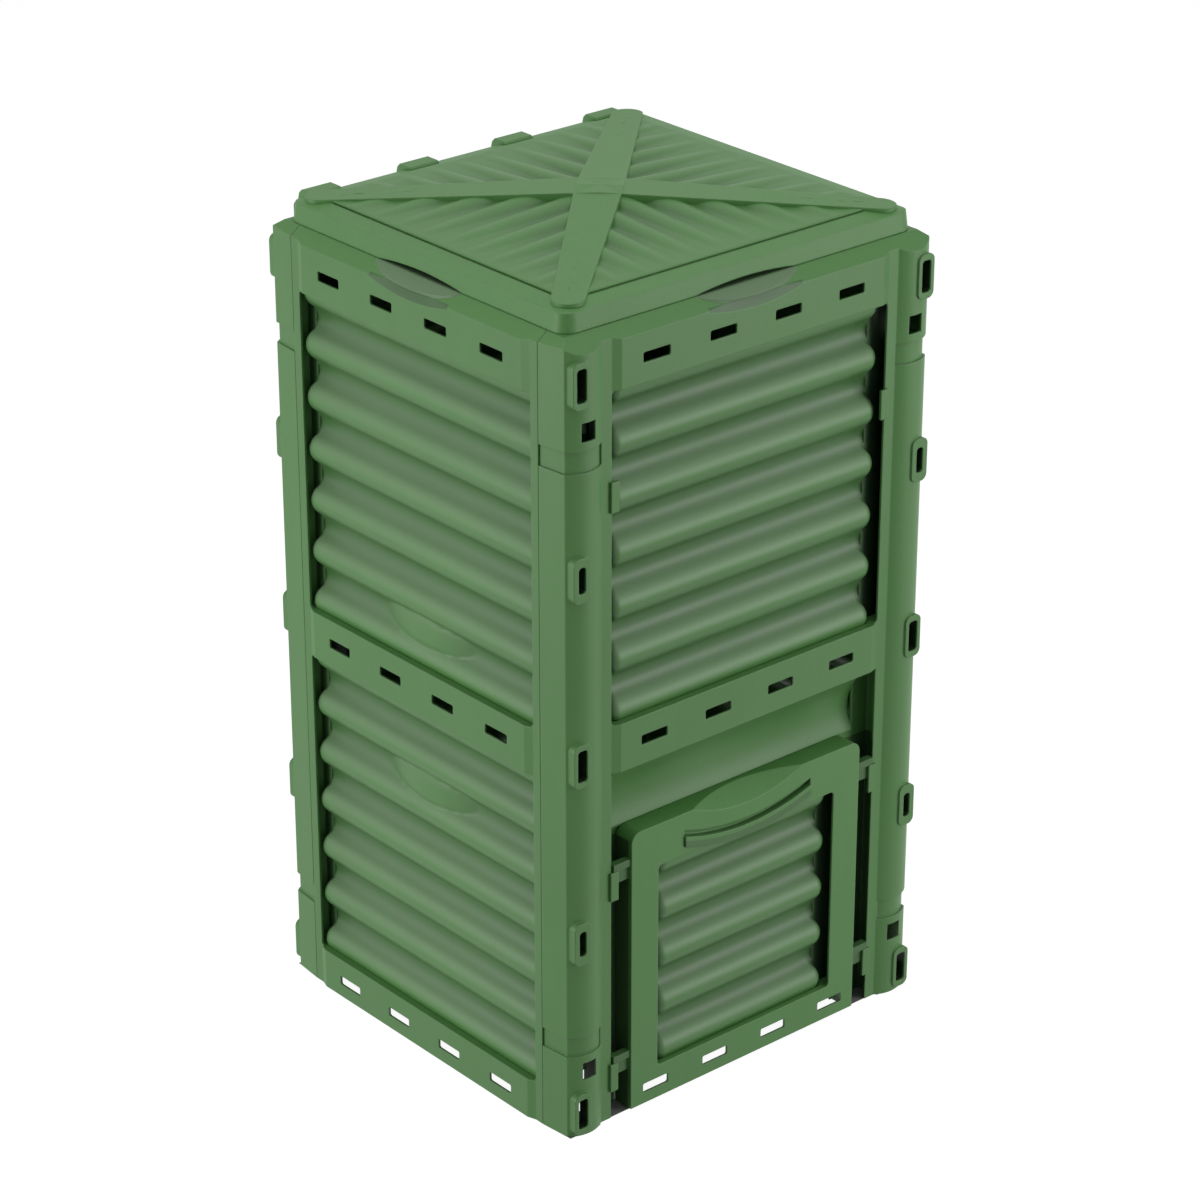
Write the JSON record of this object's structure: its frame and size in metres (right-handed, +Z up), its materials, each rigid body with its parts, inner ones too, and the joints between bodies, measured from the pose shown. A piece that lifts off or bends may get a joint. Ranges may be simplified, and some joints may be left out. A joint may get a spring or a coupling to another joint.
{
  "type": "compost bin",
  "caption": "Tall square garden compost bin with corrugated clip-together walls, a hinged lid and a lift-out door at the foot.",
  "frame": {"origin": "on the ground, at the middle of the bin's footprint", "axes": "+Z up, -Y towards the side with the door, +Y towards the lid hinge, +X to the right seen from the door side"},
  "size_m": [0.6, 0.582, 1.112],
  "materials": {
    "wall_plastic": "matte moulded polypropylene, leaf green, fine grain",
    "lid_plastic": "matte moulded polypropylene, leaf green, fine grain",
    "door_plastic": "matte moulded polypropylene, leaf green, fine grain",
    "clip_plastic": "matte moulded polypropylene, leaf green, slightly smoother",
    "pin_plastic": "smooth polypropylene, leaf green"
  },
  "bodies": {
    "bin": {"front_panel": "wall_plastic", "back_panel": "wall_plastic", "left_panel": "wall_plastic", "right_panel": "wall_plastic", "left_panel_hooks": "clip_plastic", "right_panel_hooks": "clip_plastic", "left_latch_tongues": "clip_plastic", "right_latch_tongues": "clip_plastic", "door_guide_tabs": "wall_plastic", "hinge_ears": "wall_plastic", "hinge_pins": "pin_plastic"},
    "lid": {"lid": "lid_plastic", "lid_cross_brace": "lid_plastic", "lid_hinge_knuckles": "lid_plastic"},
    "door": {"door": "door_plastic", "door_lugs": "door_plastic", "door_handle": "door_plastic"}
  },
  "joints": [
    {"name": "lid_hinge", "type": "hinge", "parent": "bin", "child": "lid", "pos_m": [0, 0.272, 1.069], "axis": [-1, 0, 0], "range_deg": [0, 105]},
    {"name": "door_lift", "type": "slide", "parent": "bin", "child": "door", "axis": [0, 0, 1], "range_m": [0, 0.04]}
  ]
}
